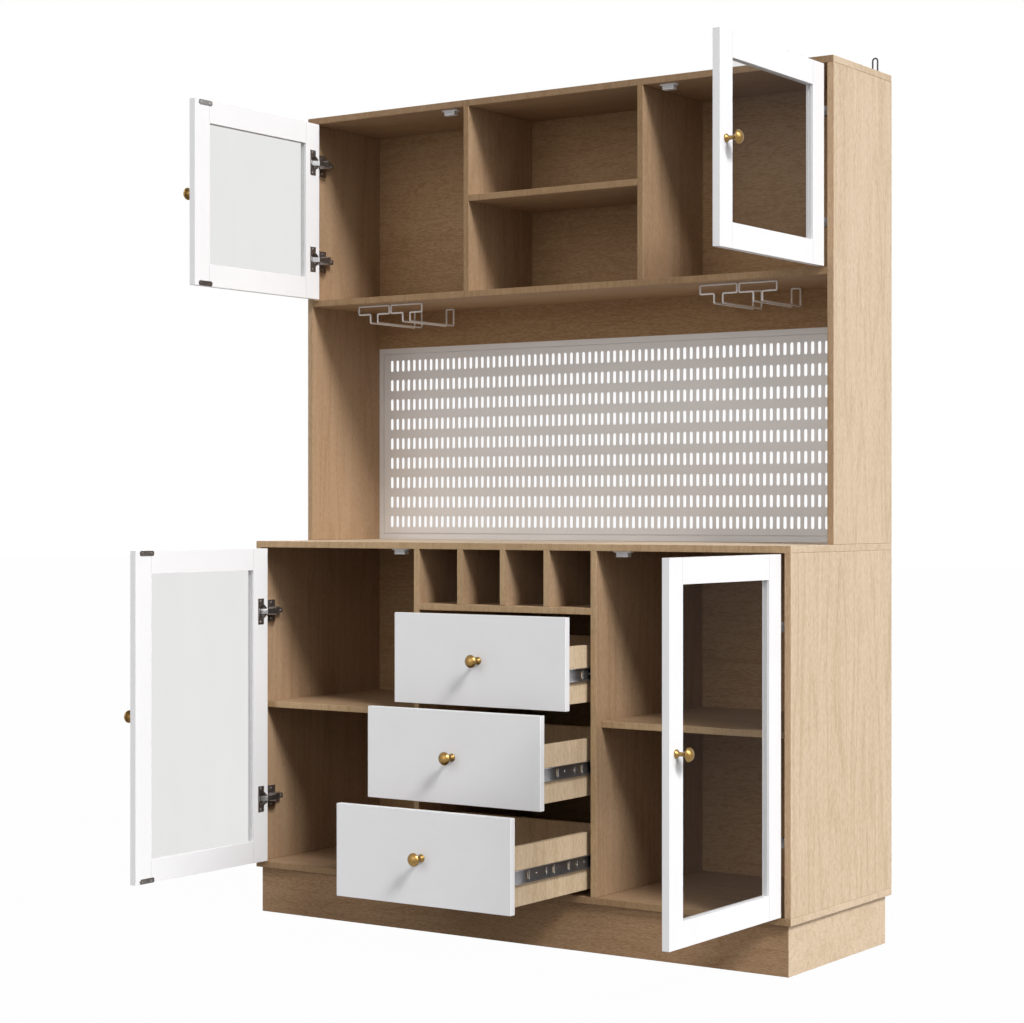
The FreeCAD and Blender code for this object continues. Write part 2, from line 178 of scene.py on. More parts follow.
class Look:
    """A procedural material while it is being put together."""

    def __init__(self, name, **sockets):
        self.material = bpy.data.materials.new(name)
        self.material.use_nodes = True
        self.tree = self.material.node_tree
        self.shader = self.tree.nodes["Principled BSDF"]
        for socket, value in sockets.items():
            self.shader.inputs[socket.replace("_", " ")].default_value = value

    def node(self, kind, inputs=(), **settings):
        made = self.tree.nodes.new("ShaderNode" + kind)
        for name, value in settings.items():
            setattr(made, name, value)
        for socket, value in dict(inputs).items():
            if isinstance(value, bpy.types.NodeSocket):
                self.tree.links.new(value, made.inputs[socket])
            else:
                made.inputs[socket].default_value = value
        return made

    def math(self, operation, a, b=0.0):
        return self.node("Math", {0: a, 1: b}, operation=operation).outputs[0]

    def place(self):
        """Where a point lies on the piece, in metres."""
        return self.node("TexCoord").outputs["Object"]

    def noise(self, vector, stretch, detail=3.0, roughness=0.55, seed=0.0):
        """Even noise with its cells stretched: cells per metre along each axis."""
        shift = (seed, 2 * seed, 3 * seed)
        spread = self.node("Mapping", {"Vector": vector, "Scale": stretch, "Location": shift})
        inputs = {"Vector": spread.outputs[0], "Scale": 1.0, "Detail": detail, "Roughness": roughness}
        return self.node("TexNoise", inputs).outputs["Fac"]

    def ramp(self, share, stops, palette):
        """Runs through a palette's colours, each at its stop."""
        made = self.node("ValToRGB", {"Fac": share})
        ladder = made.color_ramp.elements
        while len(ladder) < len(stops):
            ladder.new(0.5)
        for step, position, colour in zip(ladder, stops, palette):
            step.position = position
            step.color = (*colour, 1.0)
        return made.outputs["Color"]

    def span(self, share, low, high):
        """Spreads a share of 0 to 1 over a range."""
        return self.node("MapRange", {"Value": share, "To Min": low, "To Max": high}).outputs[0]

    def blend(self, *parts):
        """One half, plus each value's distance from its centre times its weight."""
        total = 0.5
        for value, centre, weight in parts:
            part = self.math("MULTIPLY", self.math("SUBTRACT", value, centre), weight)
            total = self.math("ADD", part, total)
        return total

    def tint(self, colour, mask, tone):
        """Multiplies a colour by a tone where a mask is one."""
        inputs = {0: mask, 6: colour, 7: (*tone, 1.0)}
        return self.node("Mix", inputs, data_type="RGBA", blend_type="MULTIPLY").outputs[2]

    def colour(self, socket):
        self.tree.links.new(socket, self.shader.inputs["Base Color"])

    def rough(self, socket):
        self.tree.links.new(socket, self.shader.inputs["Roughness"])

    def bump(self, height, strength, depth):
        made = self.node("Bump", {"Height": height, "Strength": strength, "Distance": depth})
        self.tree.links.new(made.outputs[0], self.shader.inputs["Normal"])


# Oak-grain laminate. The grain runs along one axis, and upright on the front edges of level boards.
# Front edges have their own edging tone, partly painted shade, and the boards are darker inside the
# cabinet as painted shade; with roof set, faces turned up are left out of that shade.
def oak(name, grain, seed, palette, edging_and_shade, inner=INNER_SHADE, figure=LEVEL_FIGURE, roof=False):
    look = Look(name, Specular_IOR_Level=oak_sheen)
    figure_along, figure_across, ring_count, ring_depth, fibre_depth = figure
    axes = look.node("SeparateXYZ", {0: look.place()}).outputs
    normal = look.node("SeparateXYZ", {0: look.node("TexCoord").outputs["Normal"]}).outputs
    order = {"X": (0, 1, 2), "Z": (2, 0, 1)}
    front = look.math("LESS_THAN", normal["Y"], front_limit)
    hidden = look.math("LESS_THAN", look.math("ABSOLUTE", axes["X"]), inner_reach)
    # Faces turned up keep their lit tone and get no painted inner shade
    if roof:
        hidden = look.math("MULTIPLY", hidden, look.math("LESS_THAN", normal["Z"], roof_limit))

    def along(axis):
        a, b, c = (axes[i] for i in order[axis])
        return look.node("CombineXYZ", {0: a, 1: b, 2: c}).outputs[0]

    run = along("Z" if grain == "Z" else "X")
    if grain == "level":
        run = look.node("Mix", {0: front, 4: run, 5: along("Z")}, data_type="VECTOR").outputs[1]

    def layer(stretch, octaves, roughness, shift):
        return look.noise(run, stretch, octaves, roughness, seed + shift)

    fibre = layer(*FIBRE)
    pore = layer(*PORE)
    swirl = layer((figure_along, figure_across, figure_across), *RING_OCTAVES)
    rings = look.math("PINGPONG", look.math("MULTIPLY", swirl, ring_count), 0.5)
    tone = look.blend(
        (fibre, 0.5, fibre_depth),
        (layer(*STREAK), 0.5, streak_depth),
        (layer(*PLANK), 0.5, plank_depth),
        (look.math("MINIMUM", rings, ring_edge), ring_middle, ring_depth),
        (look.math("LESS_THAN", pore, pore_share), 0.0, pore_depth),
    )
    colour = look.ramp(tone, OAK_STOPS, palette)
    # Painted shade: darker within the sides, and the edging tone, itself partly painted shade, on the
    # front edges
    shaded_within = look.math("MULTIPLY", hidden, look.math("SUBTRACT", 1.0, front))
    look.colour(look.tint(look.tint(colour, shaded_within, inner), front, EDGING_AND_SHADE[edging_and_shade]))
    look.rough(look.span(fibre, *oak_rough))
    look.bump(look.math("ADD", fibre, look.math("MULTIPLY", pore, pore_relief)), *oak_relief)
    return look.material


# White satin paint with a faint roller texture
def lacquer():
    look = Look("white_satin", Specular_IOR_Level=paint_sheen)
    cloud = look.noise(look.place(), PAINT_CLOUD)
    pebble = look.noise(look.place(), PAINT_PEBBLE, 2.0)
    look.colour(look.ramp(cloud, CLOUD_STOPS, WHITE_PAINT))
    look.rough(look.span(cloud, *paint_rough))
    look.bump(pebble, *paint_relief)
    return look.material


# Clear, faintly smoky glass, too thin to bend what is seen through it, with its sheen on the outer faces
def glass():
    look = Look("pane_glass")
    smear = look.noise(look.place(), PANE_SMEAR, 4.0)
    tint = look.ramp(smear, CLOUD_STOPS, PANE_TINT)
    clear = look.node("BsdfTransparent", {"Color": tint})
    gloss = look.node("BsdfGlossy", {"Roughness": look.span(smear, *pane_rough)})
    outside = look.math("SUBTRACT", 1.0, look.node("NewGeometry").outputs["Backfacing"])
    sheen = look.math("MULTIPLY", look.node("Fresnel", {"IOR": pane_index}).outputs[0], outside)
    mixed = look.node("MixShader", {0: sheen, 1: clear.outputs[0], 2: gloss.outputs[0]})
    look.tree.links.new(mixed.outputs[0], look.tree.nodes["Material Output"].inputs["Surface"])
    return look.material


# Metal with fine brush marks along one axis and uneven sheen
def metal(name, dark, light, low, high, stretch):
    look = Look(name, Metallic=1.0)
    brush = look.noise(look.place(), stretch)
    patch = look.noise(look.place(), METAL_PATCH, roughness=0.6, seed=4.0)
    share = look.math("ADD", look.math("MULTIPLY", brush, 0.5), look.math("MULTIPLY", patch, 0.5))
    look.colour(look.ramp(share, METAL_STOPS, (dark, light)))
    look.rough(look.span(share, low, high))
    look.bump(brush, *metal_relief)
    return look.material


# Powder coat or moulded plastic: an even colour with a fine pebble
def coated(name, dark, light, low, high, grain):
    look = Look(name, Specular_IOR_Level=coat_sheen)
    cloud = look.noise(look.place(), COAT_CLOUD)
    pebble = look.noise(look.place(), (grain, grain, grain), 2.0)
    look.colour(look.ramp(cloud, CLOUD_STOPS, (dark, light)))
    look.rough(look.span(pebble, low, high))
    look.bump(pebble, *coat_relief)
    return look.material


# Brush marks of the metals, in cells per metre along each axis
KNOB_BRUSH = (300, 300, 300)
HINGE_BRUSH = (200, 200, 900)
SLIDE_BRUSH = (900, 30, 900)
PLATE_BRUSH = (500, 60, 500)

looks = {
    "side": oak("oak_side", "Z", 0.0, OAK, "side", figure=UPRIGHT_FIGURE),
    "base_upright": oak("oak_base_upright", "Z", 5.0, OAK, "base", figure=UPRIGHT_FIGURE),
    "hutch_upright": oak("oak_hutch_upright", "Z", 7.0, OAK, "hutch", figure=UPRIGHT_FIGURE),
    "back": oak("oak_back", "X", 11.0, BACK_OAK, "hutch", PLAIN_TONE, CROSS_FIGURE),
    "base_level": oak("oak_base_level", "level", 23.0, OAK, "base"),
    "hutch_level": oak("oak_hutch_level", "level", 26.0, OAK, "hutch"),
    "counter": oak("oak_counter", "level", 29.0, OAK, "base", roof=True),
    "top": oak("oak_top", "level", 43.0, OAK, "top", roof=True),
    "plinth": oak("oak_plinth", "X", 31.0, OAK, "plinth", PLAIN_TONE, CROSS_FIGURE),
    "drawer": oak("oak_drawer", "Z", 37.0, PALE_OAK, "drawer", PLAIN_TONE, UPRIGHT_FIGURE),
    "white": lacquer(),
    "glass": glass(),
    # Knob brass: its own antique tone, darkened further as painted dark reflection
    "brass": metal("antique_brass_dark_reflection", (0.22, 0.128, 0.040), (0.33, 0.205, 0.070), 0.24, 0.36, KNOB_BRUSH),
    "gunmetal": metal("dark_nickel", (0.28, 0.255, 0.245), (0.38, 0.350, 0.335), 0.36, 0.50, HINGE_BRUSH),
    "link": metal("grey_nickel", (0.24, 0.235, 0.235), (0.34, 0.335, 0.335), 0.34, 0.46, HINGE_BRUSH),
    "nickel": metal("bright_nickel", (0.62, 0.61, 0.59), (0.76, 0.75, 0.73), 0.20, 0.32, HINGE_BRUSH),
    "slide": metal("slide_steel", (0.185, 0.183, 0.190), (0.25, 0.247, 0.255), 0.42, 0.54, SLIDE_BRUSH),
    "zinc": metal("zinc_plate", (0.27, 0.257, 0.252), (0.37, 0.358, 0.350), 0.32, 0.44, PLATE_BRUSH),
    "cage": metal("cage_steel", (0.42, 0.42, 0.43), (0.58, 0.58, 0.59), 0.25, 0.38, SLIDE_BRUSH),
    "panel": coated("panel_coat", (0.815, 0.796, 0.787), (0.845, 0.826, 0.817), 0.32, 0.45, 900),
    "wire": coated("wire_coat", (0.82, 0.79, 0.77), (0.87, 0.84, 0.82), 0.30, 0.42, 1200),
    "black": coated("black_coat", (0.030, 0.030, 0.032), (0.050, 0.050, 0.052), 0.30, 0.45, 1200),
    "plastic": coated("catch_plastic", (0.82, 0.82, 0.83), (0.86, 0.86, 0.87), 0.35, 0.50, 1500),
    # Grey strips that paint the shade of the door frames' seams
    "joint": coated("painted_seam_shade", (0.48, 0.47, 0.47), (0.54, 0.53, 0.53), 0.60, 0.75, 1500),
}


def dress(node, look, edge):
    """Gives a CAD node its material and softly broken edges."""
    obj = nodes[node]
    obj.data.materials.clear()
    obj.data.materials.append(looks[look])
    weld = obj.modifiers.new("weld", "WELD")
    weld.merge_threshold = WELD_REACH
    bevel = obj.modifiers.new("edges", "BEVEL")
    bevel.width = edge
    bevel.segments = EDGE_STEPS
    bevel.limit_method = "ANGLE"
    bevel.angle_limit = EDGE_ANGLE


def piece(name, made, look, body, slot, *replaced):
    """Turns a built mesh into a piece that rides on a body and may stand for CAD nodes."""
    bmesh.ops.recalc_face_normals(made, faces=made.faces)
    mesh = bpy.data.meshes.new(name)
    made.to_mesh(mesh)
    made.free()
    mesh.materials.append(looks[look])
    mesh.shade_smooth()
    mesh.set_sharp_from_angle(angle=SMOOTH_ANGLE)
    obj = bpy.data.objects.new(name, mesh)
    bpy.context.scene.collection.objects.link(obj)
    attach(obj, body)
    if replaced:
        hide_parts(*replaced)
    return obj


def facing(point, direction):
    """A placement with its Z axis along a direction."""
    return Matrix.Translation(point) @ Vector(direction).to_track_quat("Z", "Y").to_matrix().to_4x4()


def skin(made, rows, closed=False):
    """Quads between rows of points, and the vertices of each row."""
    grid = [[made.verts.new(point) for point in row] for row in rows]
    for low, high in zip(grid, grid[1:]):
        pairs = list(zip(low, high))
        if closed:
            pairs.append(pairs[0])
        for (a, d), (b, c) in zip(pairs, pairs[1:]):
            made.faces.new((a, b, c, d))
    return grid


def stack(made, placed, levels):
    """A closed solid through outlines of equally many points, each an (outline, height)."""
    rows = [[placed @ Vector((x, y, height)) for x, y in outline] for outline, height in levels]
    grid = skin(made, rows, closed=True)
    made.faces.new(grid[0])
    made.faces.new(grid[-1])


def circle(radius, sides):
    turns = [2 * math.pi * i / sides for i in range(sides)]
    return [(radius * math.cos(turn), radius * math.sin(turn)) for turn in turns]


def rounded(length, width, radius, steps=5):
    """A rectangle's outline with round corners."""
    points = []
    for quarter, (sx, sy) in enumerate(CORNERS):
        for i in range(steps + 1):
            turn = math.pi / 2 * (quarter + i / steps)
            x = sx * (length / 2 - radius) + radius * math.cos(turn)
            y = sy * (width / 2 - radius) + radius * math.sin(turn)
            points.append((x, y))
    return points


def slab(made, placed, length, width, thickness, radius, edge):
    """A plate with round corners and broken edges."""
    full = rounded(length, width, radius)
    inset = rounded(length - 2 * edge, width - 2 * edge, radius - edge)
    stack(made, placed, [(inset, 0), (full, edge), (full, thickness - edge), (inset, thickness)])


# Screws: a low domed head with a cross recess, in shares of the head's radius and of its height
cross_bar = 0.16
cross_arm = 0.62
head_rise = 0.42
head_top = 0.82
head_skirt = 0.4
cross_rim = 1.05
cross_floor = 0.35


def screw(made, placed, radius):
    bar = cross_bar * radius
    arm = cross_arm * radius
    cross = [(arm, bar), (bar, bar), (bar, arm)]
    outline = []
    for turn in range(4):
        spin = Matrix.Rotation(turn * math.pi / 2, 2)
        outline += [tuple(spin @ Vector(point)) for point in cross]

    def ring(size):
        scaled = []
        for x, y in outline:
            reach = math.hypot(x, y)
            scaled.append((x / reach * size, y / reach * size))
        return scaled

    height = head_rise * radius
    stack(made, placed, [
        (ring(radius), 0),
        (ring(radius), head_skirt * height),
        (ring(head_top * radius), height),
        (outline, cross_rim * height),
        (outline, cross_floor * height),
    ])


# Slotted panel: a field of round-ended slots inside a pressed bead, folded back at the edges
slot_width = 8 * MM
slot_length = 27 * MM
slot_pitch = (16.38 * MM, 46.2 * MM)
slot_first = 38.2 * MM
slot_count = (76, 9)
slot_steps = 6
panel_sheet = 1.5 * MM
panel_border = 14 * MM
bead_half = 1.3 * MM
bead_floor = 0.6 * bead_half
bead_depth = 3.4 * MM
panel_edge = 0.7 * MM


def slot_rim(steps):
    """Half a slot's outline from its left to its right side, over the top."""
    points = []
    for i in range(steps + 1):
        turn = math.pi * (1 - i / steps)
        x = slot_width / 2 * math.cos(turn)
        z = (slot_length - slot_width) / 2 + slot_width / 2 * math.sin(turn)
        points.append((x, z))
    return points


def slotted_panel():
    made = bmesh.new()
    low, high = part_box("slotted_panel")
    middle = (low + high) / 2
    pitch_x, pitch_z = slot_pitch
    first_x = low.x + slot_first
    first_z = middle.z - pitch_z * (slot_count[1] - 1) / 2
    rim = slot_rim(slot_steps)
    hole = rim + [(x, -z) for x, z in reversed(rim)]
    spread = [pitch_x * (i / slot_steps - 0.5) for i in range(slot_steps + 1)]
    cell = [(x, pitch_z / 2) for x in spread] + [(x, -pitch_z / 2) for x in reversed(spread)]
    front = low.y
    back = low.y + panel_sheet
    bead_back = bead_half + panel_sheet
    for i in range(slot_count[0]):
        for k in range(slot_count[1]):
            x, z = first_x + i * pitch_x, first_z + k * pitch_z
            rows = [(cell, front), (hole, front), (hole, back), (cell, back)]
            skin(made, [[(x + dx, y, z + dz) for dx, dz in outline] for outline, y in rows], closed=True)
    field_start = first_x - pitch_x / 2
    field_x = [field_start + pitch_x * i / slot_steps for i in range(slot_count[0] * slot_steps + 1)]
    field_z = [first_z - pitch_z / 2 + pitch_z * k for k in range(slot_count[1] + 1)]

    def frame_ring(inset, y):
        """A rectangle inside the panel's outline, with points in line with those of the field."""
        if inset is None:
            xs, zs = field_x, field_z
        else:
            xs = [low.x + inset, *field_x[1:-1], high.x - inset]
            zs = [low.z + inset, *field_z[1:-1], high.z - inset]
        ring = [(x, y, zs[0]) for x in xs[:-1]] + [(xs[-1], y, z) for z in zs[:-1]]
        ring += [(x, y, zs[-1]) for x in reversed(xs[1:])] + [(xs[0], y, z) for z in reversed(zs[1:])]
        return ring

    skin(made, [
        frame_ring(None, front),
        frame_ring(panel_border + bead_half, front),
        frame_ring(panel_border + bead_floor, front + bead_depth),
        frame_ring(panel_border - bead_floor, front + bead_depth),
        frame_ring(panel_border - bead_half, front),
        frame_ring(panel_edge, front),
        frame_ring(0, front + panel_edge),
        frame_ring(0, high.y),
        frame_ring(panel_sheet, high.y),
        frame_ring(panel_sheet, back),
        frame_ring(panel_border - bead_back, back),
        frame_ring(panel_border - bead_back, back + bead_depth),
        frame_ring(panel_border + bead_back, back + bead_depth),
        frame_ring(panel_border + bead_back, back),
        frame_ring(None, back),
    ], closed=True)
    bmesh.ops.remove_doubles(made, verts=made.verts, dist=MERGE_REACH)
    piece("slotted_sheet", made, "panel", "carcass", "panel_paint", "slotted_panel")


# Glass racks: four closed wires with tight round bends
rack_wire = 4 * MM
rack_bend = 2.6 * MM
rack_loop_width = 86.5 * MM
rack_loop_pitch = 92 * MM
rack_loop_height = 18.5 * MM
rack_stem_gap = 20.5 * MM
rack_drop = 38 * MM
rack_centres = (-466 * MM, 431 * MM)
rack_bend_steps = 6
rack_round_steps = 3


def bent_wire(spline, points):
    """Runs a closed Bezier line through corners, each rounded to the bend radius by a quarter arc."""
    spline.use_cyclic_u = True
    spline.bezier_points.add(2 * len(points) - 1)
    handle = rack_bend * (1 - 4 / 3 * math.tan(math.pi / 8))
    for i, corner in enumerate(points):
        before = (points[i - 1] - corner).normalized()
        after = (points[(i + 1) % len(points)] - corner).normalized()
        start, end = spline.bezier_points[2 * i], spline.bezier_points[2 * i + 1]
        start.co = corner + before * rack_bend
        end.co = corner + after * rack_bend
        start.handle_left = start.co + before * rack_bend / 3
        start.handle_right = corner + before * handle
        end.handle_left = corner + after * handle
        end.handle_right = end.co + after * rack_bend / 3


def glass_racks():
    low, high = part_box("glass_racks")
    near = low.y + rack_wire / 2
    far = high.y - rack_wire / 2
    top = high.z - rack_wire / 2
    shoulder = top - rack_loop_height
    rail = top - rack_drop
    wide = rack_loop_width / 2
    stem = rack_stem_gap / 2
    half = [(wide, near, top), (wide, near, shoulder), (stem, near, shoulder)]
    half += [(stem, near, rail), (stem, far, rail), (stem, far, top)]
    curve = bpy.data.curves.new("rack_lines", "CURVE")
    curve.dimensions = "3D"
    curve.resolution_u = rack_bend_steps
    curve.bevel_depth = rack_wire / 2
    curve.bevel_resolution = rack_round_steps
    for centre in rack_centres:
        for x in (centre - rack_loop_pitch / 2, centre + rack_loop_pitch / 2):
            points = [Vector((x + dx, y, z)) for dx, y, z in half]
            points += [Vector((x - dx, y, z)) for dx, y, z in reversed(half)]
            bent_wire(curve.splines.new("BEZIER"), points)
    line = bpy.data.objects.new("rack_lines", curve)
    bpy.context.scene.collection.objects.link(line)
    made = bmesh.new()
    made.from_mesh(bpy.data.meshes.new_from_object(line))
    bpy.data.objects.remove(line)
    bmesh.ops.remove_doubles(made, verts=made.verts, dist=MERGE_REACH)
    piece("rack_wires", made, "wire", "carcass", "wire_paint", "glass_racks")


# Knobs: a turned foot, a thin neck and a flared head with a domed face.
# Each curve has four points of radius and height, in millimetres.
knob_curves = [
    ((8.2, 0.0), (8.2, 0.5), (8.2, 1.0), (8.1, 1.5)),
    ((8.1, 1.5), (7.6, 3.6), (4.3, 4.0), (3.9, 8.0)),
    ((3.9, 8.0), (3.8, 10.0), (3.8, 11.0), (4.0, 13.0)),
    ((4.0, 13.0), (4.6, 19.5), (9.0, 23.0), (12.9, 25.2)),
    ((12.9, 25.2), (13.6, 25.7), (13.7, 26.9), (13.1, 27.7)),
    ((13.1, 27.7), (11.0, 32.0), (6.0, 35.0), (0.02, 35.0)),
]
knob_sides = 48
knob_steps = 9


def knob(name, body, direction):
    profile = []
    for curve in knob_curves:
        run = geometry.interpolate_bezier(*[Vector(point) for point in curve], knob_steps)
        profile += [tuple(point * MM) for point in run[1 if profile else 0:]]
    low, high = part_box(name)
    middle = (low + high) / 2
    half = (high - low) / 2
    axis = Vector(direction)
    foot = middle - Vector(a * abs(b) for a, b in zip(axis, half))
    made = bmesh.new()
    stack(made, facing(foot, axis), [(circle(radius, knob_sides), out) for radius, out in profile])
    piece(name.replace("_knob", "_pull"), made, "brass", body, "brass", name)


# Glazing: a pane that fills the frame's opening, and a white seal in the groove round it
pane_seat = 6 * MM
pane_grip = 1.5 * MM
pane_corner = 0.5 * MM
pane_edge = 0.1 * MM
seal_depth = 1 * MM


def glazing(door):
    node = door + "_glass"
    low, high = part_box(node)
    middle = (low + high) / 2
    deep, tall = high.y - low.y, high.z - low.z
    thick = high.x - low.x
    placed = Matrix.Translation((low.x, middle.y, middle.z)) @ turned_plate(X_AXIS)
    pane = bmesh.new()
    hidden = pane_seat - pane_grip
    slab(pane, placed, deep - 2 * hidden, tall - 2 * hidden, thick, pane_corner, pane_edge)
    piece(door + "_pane", pane, "glass", door + "_door", "clear_glass", node)
    seal = bmesh.new()

    def ring(inset, height):
        across, up = deep / 2 - inset, tall / 2 - inset
        return [placed @ Vector((x * across, z * up, height)) for x, z in CORNERS]

    inner, outer = pane_seat, -seal_depth
    rows = [ring(inner, 0), ring(inner, thick), ring(outer, thick), ring(outer, 0), ring(inner, 0)]
    skin(seal, rows, closed=True)
    bmesh.ops.remove_doubles(seal, verts=seal.verts, dist=MERGE_REACH)
    piece(door + "_glazing_seal", seal, "white", door + "_door", "white_lacquer")


# Joint lines: a thin grey strip of painted seam shade where each rail of a door meets a stile
joint_width = 0.8 * MM
joint_proud = 0.04 * MM
joint_short = 0.4 * MM
joint_corner = 0.1 * MM
joint_edge = 0.02 * MM


def seam_shade_lines(door):
    low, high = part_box(door + "_frame")
    glass_low, glass_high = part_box(door + "_glass")
    bottom = glass_low.z + pane_seat
    top = glass_high.z - pane_seat
    thick = high.x - low.x + 2 * joint_proud
    made = bmesh.new()
    for y in (glass_low.y + pane_seat, glass_high.y - pane_seat):
        for start, end in ((low.z, bottom), (top, high.z)):
            spot = Vector((low.x - joint_proud, y, (start + end) / 2))
            placed = Matrix.Translation(spot) @ turned_plate(X_AXIS)
            slab(made, placed, joint_width, end - start - joint_short, thick, joint_corner, joint_edge)
    piece(door + "_seam_shade_lines", made, "joint", door + "_door", "white_lacquer")


# Strike plates: two round-ended plates on each door's inner face, with screws almost flush
strike_corner = 0.42 * strike_height
strike_edge = 0.3 * MM
strike_screw_spots = (-0.3 * strike_length, 0.3 * strike_length)
strike_screw_radius = 2.6 * MM
strike_screw_sink = 1.0 * MM


def strike_plates(door, sign):
    node = door + "_strike_plates"
    low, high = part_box(node)
    inward = Vector((-sign, 0, 0))
    seat = high.x if sign > 0 else low.x
    thickness = high.x - low.x
    plates = bmesh.new()
    screws = bmesh.new()
    for level in (low.z + strike_height / 2, high.z - strike_height / 2):
        placed = Matrix.Translation((seat, (low.y + high.y) / 2, level)) @ turned_plate(inward)
        slab(plates, placed, strike_length, strike_height, thickness, strike_corner, strike_edge)
        for spot in strike_screw_spots:
            sunk = Matrix.Translation((spot, 0, thickness - strike_screw_sink))
            screw(screws, placed @ sunk, strike_screw_radius)
    piece(door + "_catch_plates", plates, "zinc", door + "_door", "zinc_steel", node)
    piece(door + "_catch_screws", screws, "nickel", door + "_door", "bright_nickel")


def turned_plate(out):
    """Axes of an upright plate: X along the cabinet's depth, Y up, Z out of the face."""
    across = Z_AXIS.cross(out)
    return Matrix((across, Z_AXIS, out)).transposed().to_4x4()


# Hinge screws: on the cup's flange, on the mounting plate and on the arm, each with its radius
flange_screw_inset = 5.5 * MM
flange_screw = 3.2 * MM
wing_screw_inset = 7 * MM
wing_screw = 3.4 * MM
tail_screw_inset = 6 * MM
tail_screw = 3.6 * MM


def hinge_screws(door, sign):
    low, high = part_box(door + "_hinge_cups")
    levels = (low.z + cup_flange_length / 2, high.z - cup_flange_length / 2)
    face = front_planes[door.split("_")[0]]
    inward = Vector((-sign, 0, 0))
    flange = low.x if sign > 0 else high.x
    flange_y = low.y + cup_flange_width / 2
    nose = face + door_board + arm_gap
    on_door = bmesh.new()
    on_side = bmesh.new()

    def fix(made, x, y, z, radius):
        screw(made, Matrix.Translation((x, y, z)) @ turned_plate(inward), radius)

    wing_x = sign * (inside - plate_sheet)
    wing_y = nose + plate_sheet + plate_length / 2
    tail_x = sign * (inside - arm_tail_height)
    tail_y = nose + arm_length - tail_screw_inset
    for level in levels:
        for shift in (-1, 1):
            flange_z = level + shift * (cup_flange_length / 2 - flange_screw_inset)
            fix(on_door, flange, flange_y, flange_z, flange_screw)
            wing_z = level + shift * (plate_height / 2 - wing_screw_inset)
            fix(on_side, wing_x, wing_y, wing_z, wing_screw)
        fix(on_side, tail_x, tail_y, level, tail_screw)
    piece(door + "_cup_screws", on_door, "zinc", door + "_door", "zinc_steel")
    piece(door + "_plate_screws", on_side, "zinc", "carcass", "zinc_steel")


# Magnetic catches: a fixing flange over a body of three ridges, each with its height and inset
catch_length = 41 * MM
catch_depth = 15 * MM
catch_gap = 1.3 * MM
catch_flange = 3 * MM
catch_corner = 2.5 * MM
catch_edge = 0.4 * MM
catch_body_length = 28.5 * MM
ridge_corner = 1.2 * MM
ridge_edge = 0.2 * MM
catch_ridge = (2.4 * MM, 0.2 * MM)
catch_groove = (0.9 * MM, 2.2 * MM)
catch_steps = (catch_ridge, catch_groove, catch_ridge, catch_groove, catch_ridge)


def magnetic_catches():
    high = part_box("magnetic_catches")[1]
    made = bmesh.new()
    for storey in STOREYS:
        under = {"lower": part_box("counter_top")[0].z, "upper": high.z}[storey]
        y = front_planes[storey] + door_board + catch_gap + catch_depth / 2
        for sign in SIDES.values():
            x = sign * (high.x - catch_length / 2)
            placed = Matrix.Translation((x, y, under)) @ Matrix.Rotation(math.pi, 4, "X")
            slab(made, placed, catch_length, catch_depth, catch_flange, catch_corner, catch_edge)
            drop = catch_flange
            for tall, inset in catch_steps:
                step = placed @ Matrix.Translation((0, 0, drop))
                long = catch_body_length - 2 * inset
                slab(made, step, long, catch_depth - 2 * inset, tall, ridge_corner, ridge_edge)
                drop += tall
    piece("catch_bodies", made, "plastic", "carcass", "white_plastic", "magnetic_catches")


# Slide runners: a folded strip with rolled lips, upright slots, ovals and screws.
# Widths and heights of slots and ovals, and all places from the front end, are in millimetres.
runner_sheet = 1.2 * MM
runner_bend = 2.0 * MM
runner_rise = 8.5 * MM
runner_slot = (6, 16)
runner_oval = (5, 6)
runner_slots = [(place, *runner_slot) for place in (56.6, 146, 201, 291)]
runner_ovals = [(place, *runner_oval) for place in (118, 230, 353)]
runner_screws = (86, 260, 322)
runner_screw_radius = 3.6 * MM
lip_steps = 4
hole_steps = 6
hole_reach = 6 * MM


def runner_strip(made, x_web, x_lip, low, high):
    """One runner's outer surface between two ends, with its web pierced."""
    out = math.copysign(1, x_lip - x_web)
    web = x_web + out * runner_sheet
    half = (high.z - low.z) / 2
    level = (high.z + low.z) / 2
    flat = half - runner_bend
    lip = [(x_lip, half)]
    for i in range(lip_steps + 1):
        turn = math.pi / 2 * i / lip_steps
        x = web + out * runner_bend * (1 - math.sin(turn))
        lip.append((x, half - runner_bend * (1 - math.cos(turn))))
    stations = [low.y]
    start = low.y
    for place, wide, tall in sorted(runner_slots + runner_ovals):
        middle = low.y + place * MM
        rim = []
        for i in range(hole_steps + 1):
            turn = math.pi * (1 - i / hole_steps)
            y = wide / 2 * math.cos(turn) * MM
            rim.append((y, ((tall - wide) / 2 + wide / 2 * math.sin(turn)) * MM))
        spread = [hole_reach * (2 * i / hole_steps - 1) for i in range(hole_steps + 1)]
        hole = rim + [(y, -z) for y, z in reversed(rim)]
        cell = [(y, flat) for y in spread] + [(y, -flat) for y in reversed(spread)]
        rows = [[(web, middle + y, level + z) for y, z in outline] for outline in (cell, hole)]
        skin(made, rows, closed=True)
        skin(made, [[(web, y, level + z) for y in (start, middle - hole_reach)] for z in (-flat, flat)])
        start = middle + hole_reach
        stations += [middle + y for y in spread]
    skin(made, [[(web, y, level + z) for y in (start, high.y)] for z in (-flat, flat)])
    stations.append(high.y)
    for side in (-1, 1):
        skin(made, [[(x, y, level + side * z) for y in stations] for x, z in lip])


